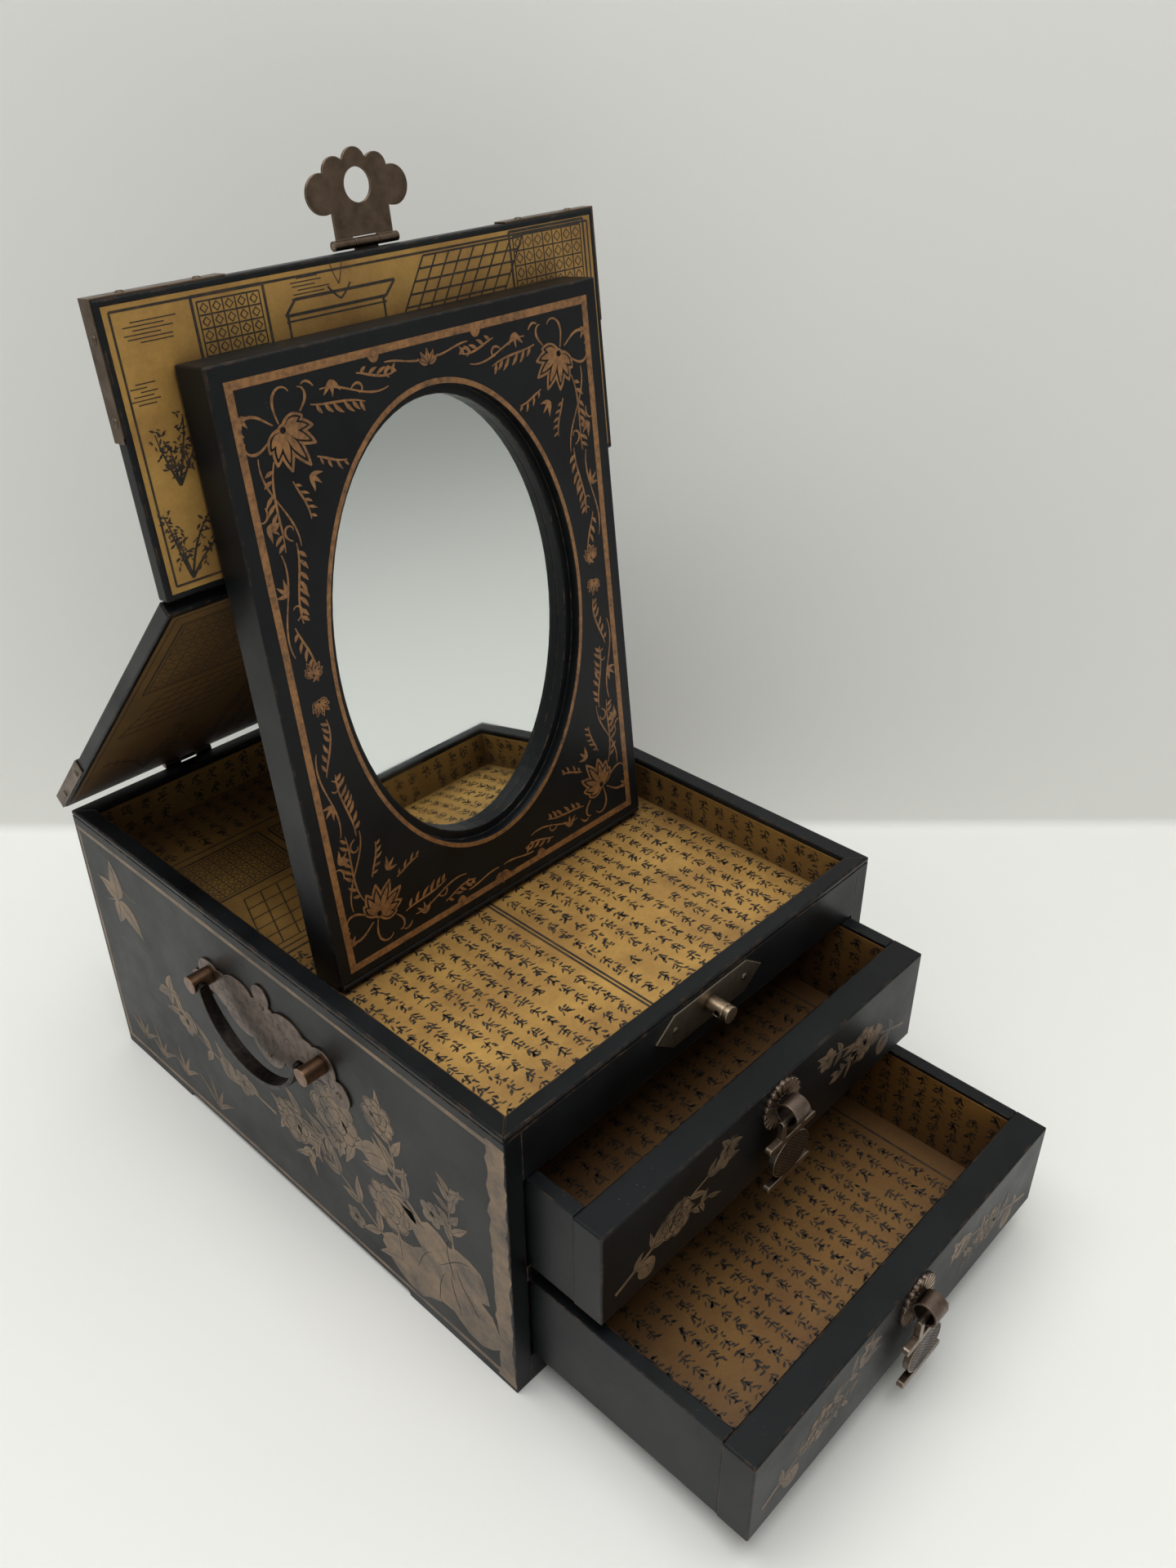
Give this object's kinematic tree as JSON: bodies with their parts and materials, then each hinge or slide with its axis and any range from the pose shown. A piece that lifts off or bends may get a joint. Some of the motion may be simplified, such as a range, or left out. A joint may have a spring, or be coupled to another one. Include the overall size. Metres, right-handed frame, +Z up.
{
  "type": "jewelry box",
  "caption": "Lacquered dressing box with drawers, a lined tray, and a folding lid that props up an oval mirror; metal handles, pulls and hasp.",
  "frame": {"origin": "on the floor, in the middle of the front apron's lower face", "axes": "+X to the right along the front, +Y to the back, +Z up"},
  "size_m": [0.209, 0.3559, 0.3634],
  "materials": {
    "lacquer": "worn black lacquer over wood, semi-gloss, with faded gold painting",
    "lining_paper": "aged amber printed paper, matt",
    "bronze_mounts": "darkened bronze sheet, satin",
    "brass_fittings": "rubbed brass, satin",
    "mirror_glass": "silvered glass"
  },
  "bodies": {
    "case": {"left_side": "lacquer", "right_side": "lacquer", "back_panel": "lacquer", "front_rail": "lacquer", "front_apron": "lacquer", "base_board": "lacquer", "drawer_shelf": "lacquer", "tray_floor": "lacquer", "tray_rim": "lacquer", "tray_lining": "lining_paper", "staple_plate": "bronze_mounts", "staple_post": "brass_fittings", "case_nails": "bronze_mounts", "left_handle_plate": "bronze_mounts", "right_handle_plate": "bronze_mounts", "left_handle_posts": "brass_fittings", "right_handle_posts": "brass_fittings", "rear_hinge_case": "bronze_mounts"},
    "left_bail": {"left_bail": "bronze_mounts"},
    "right_bail": {"right_bail": "bronze_mounts"},
    "upper_drawer": {"upper_drawer_front": "lacquer", "upper_drawer_left": "lacquer", "upper_drawer_right": "lacquer", "upper_drawer_back": "lacquer", "upper_drawer_bottom": "lacquer", "upper_drawer_lining": "lining_paper", "upper_pull_plate": "bronze_mounts"},
    "upper_pull": {"upper_pull_drop": "brass_fittings"},
    "lower_drawer": {"lower_drawer_front": "lacquer", "lower_drawer_left": "lacquer", "lower_drawer_right": "lacquer", "lower_drawer_back": "lacquer", "lower_drawer_bottom": "lacquer", "lower_drawer_lining": "lining_paper", "lower_pull_plate": "bronze_mounts"},
    "lower_pull": {"lower_pull_drop": "brass_fittings"},
    "mirror_foot": {"mirror_foot_bead": "lacquer"},
    "front_leaf": {"front_leaf": "lacquer", "front_leaf_lining": "lining_paper", "front_corner_mounts": "bronze_mounts", "front_leaf_nails": "bronze_mounts", "fold_hinge_front": "bronze_mounts", "hasp_leaf": "bronze_mounts", "hasp_pin": "brass_fittings", "mirror_spacers": "lacquer", "mirror_frame": "lacquer", "mirror_glass": "mirror_glass", "mirror_backboard": "lacquer"},
    "hasp": {"hasp_plate": "bronze_mounts"},
    "rear_leaf": {"rear_leaf": "lacquer", "rear_leaf_lining": "lining_paper", "rear_corner_mounts": "bronze_mounts", "rear_leaf_nails": "bronze_mounts", "fold_hinge_rear": "bronze_mounts", "fold_hinge_pins": "brass_fittings", "rear_hinge_leaf": "bronze_mounts"}
  },
  "joints": [
    {"name": "upper_drawer_slide", "type": "slide", "parent": "case", "child": "upper_drawer", "axis": [0, -1, 0], "range_m": [-0.0316, 0.1184]},
    {"name": "lower_drawer_slide", "type": "slide", "parent": "case", "child": "lower_drawer", "axis": [0, -1, 0], "range_m": [-0.0908, 0.0592]},
    {"name": "upper_pull_swing", "type": "hinge", "parent": "upper_drawer", "child": "upper_pull", "pos_m": [0, -0.04035, 0.0873], "axis": [-1, 0, 0], "range_deg": [0, 75]},
    {"name": "lower_pull_swing", "type": "hinge", "parent": "lower_drawer", "child": "lower_pull", "pos_m": [0, -0.09955, 0.0394], "axis": [-1, 0, 0], "range_deg": [0, 75]},
    {"name": "left_bail_swing", "type": "hinge", "parent": "case", "child": "left_bail", "pos_m": [-0.1018, 0.12175, 0.093], "axis": [0, 1, 0], "range_deg": [0, 100]},
    {"name": "right_bail_swing", "type": "hinge", "parent": "case", "child": "right_bail", "pos_m": [0.1018, 0.12175, 0.093], "axis": [0, -1, 0], "range_deg": [0, 100]},
    {"name": "foot_slide", "type": "slide", "parent": "case", "child": "mirror_foot", "axis": [0, 1, 0], "range_m": [0, 0.1278]},
    {"name": "lid_fold", "type": "hinge", "parent": "mirror_foot", "child": "front_leaf", "pos_m": [0, 0.09743, 0.10926], "axis": [1, 0, 0], "range_deg": [0, 97]},
    {"name": "leaf_fold", "type": "hinge", "parent": "front_leaf", "child": "rear_leaf", "pos_m": [0, 0.1358, 0.25074], "axis": [1, 0, 0], "range_deg": [-50.7, 0]},
    {"name": "hasp_swing", "type": "hinge", "parent": "front_leaf", "child": "hasp", "pos_m": [0, 0.14679, 0.33694], "axis": [1, 0, 0], "range_deg": [-90, 90]}
  ],
  "couplings": [
    {"joint": "foot_slide", "follows": "lid_fold", "m_per_rad": 0.075381},
    {"joint": "leaf_fold", "follows": "lid_fold", "ratio": -0.52207}
  ]
}
